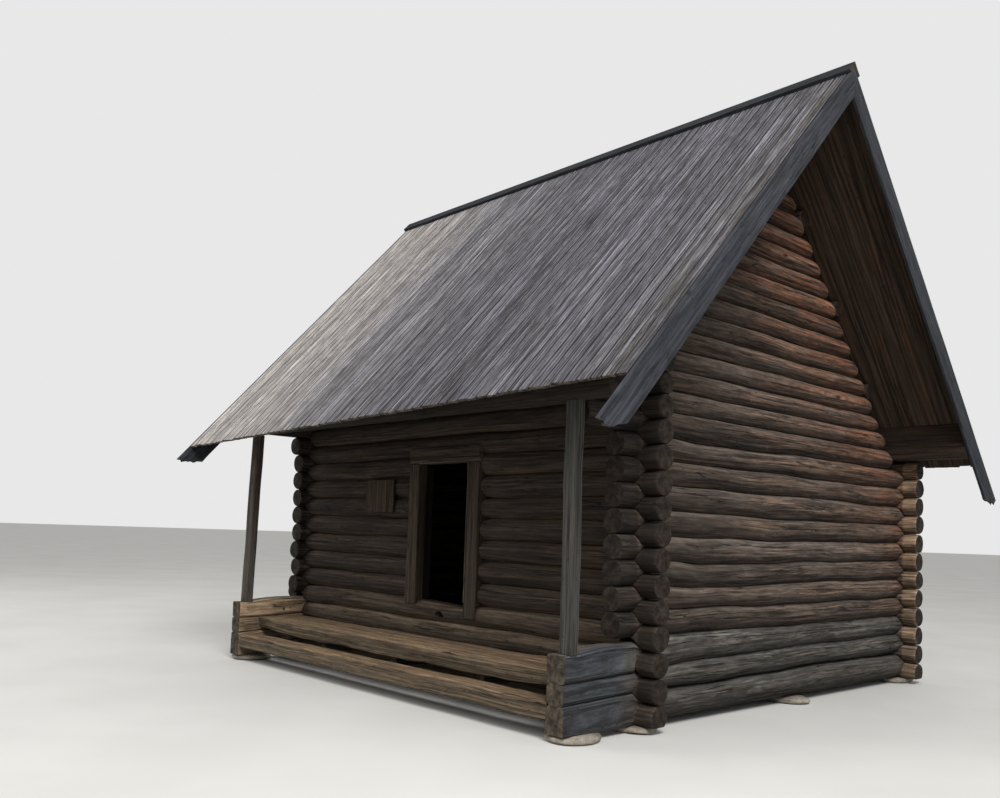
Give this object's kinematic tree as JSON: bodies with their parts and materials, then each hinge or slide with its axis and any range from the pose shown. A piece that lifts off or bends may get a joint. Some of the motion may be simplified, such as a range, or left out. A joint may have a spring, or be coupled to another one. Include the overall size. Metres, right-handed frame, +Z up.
{
  "type": "raised log granary",
  "caption": "Raised log granary with a steep plank roof, a sheltered porch on posts and a low doorway with a cat hole",
  "frame": {"origin": "on the level ground under the middle of the ridge", "axes": "x runs along the ridge to the right as seen by someone facing the doorway, y runs from the porch to the back wall, z is up"},
  "size_m": [7.32, 7.1863, 6.3554],
  "materials": {
    "field_stone": "rough",
    "grey_log": "weathered, blue grey, unpainted",
    "wall_log": "weathered, dark brown, unpainted",
    "hewn_timber": "weathered, hewn, unpainted",
    "plank": "weathered, worn, unpainted",
    "roof_timber": "dark, unpainted",
    "under_board": "brown, sheltered, unpainted",
    "roof_plank": "silver grey, weathered, unpainted",
    "roof_edge": "grey, weathered, unpainted"
  },
  "bodies": {
    "root": {"foundation_stones": "field_stone", "left_wing_logs": "grey_log", "right_wing_logs": "grey_log", "left_wall_logs": "wall_log", "right_wall_logs": "wall_log", "left_gable_logs": "wall_log", "right_gable_logs": "wall_log", "front_sill_logs": "wall_log", "front_wall_left": "wall_log", "front_wall_right": "wall_log", "front_wall_top": "wall_log", "back_wall_logs": "wall_log", "left_jamb": "hewn_timber", "right_jamb": "hewn_timber", "door_head": "hewn_timber", "floor_planks": "plank", "floor_joists": "hewn_timber", "porch_planks": "plank", "porch_bearers": "hewn_timber", "step_beam": "plank", "left_post": "hewn_timber", "right_post": "hewn_timber", "front_plate": "roof_timber", "back_plate": "roof_timber", "ridge_purlin": "roof_timber", "front_purlins": "roof_timber", "back_purlins": "roof_timber", "front_under_boards": "under_board", "back_under_boards": "under_board", "front_roof_planks": "roof_plank", "back_roof_planks": "roof_plank", "front_ridge_board": "roof_edge", "back_ridge_board": "roof_edge", "left_front_bargeboard": "roof_edge", "right_front_bargeboard": "roof_edge", "left_back_bargeboard": "roof_edge", "right_back_bargeboard": "roof_edge"}
  },
  "joints": []
}
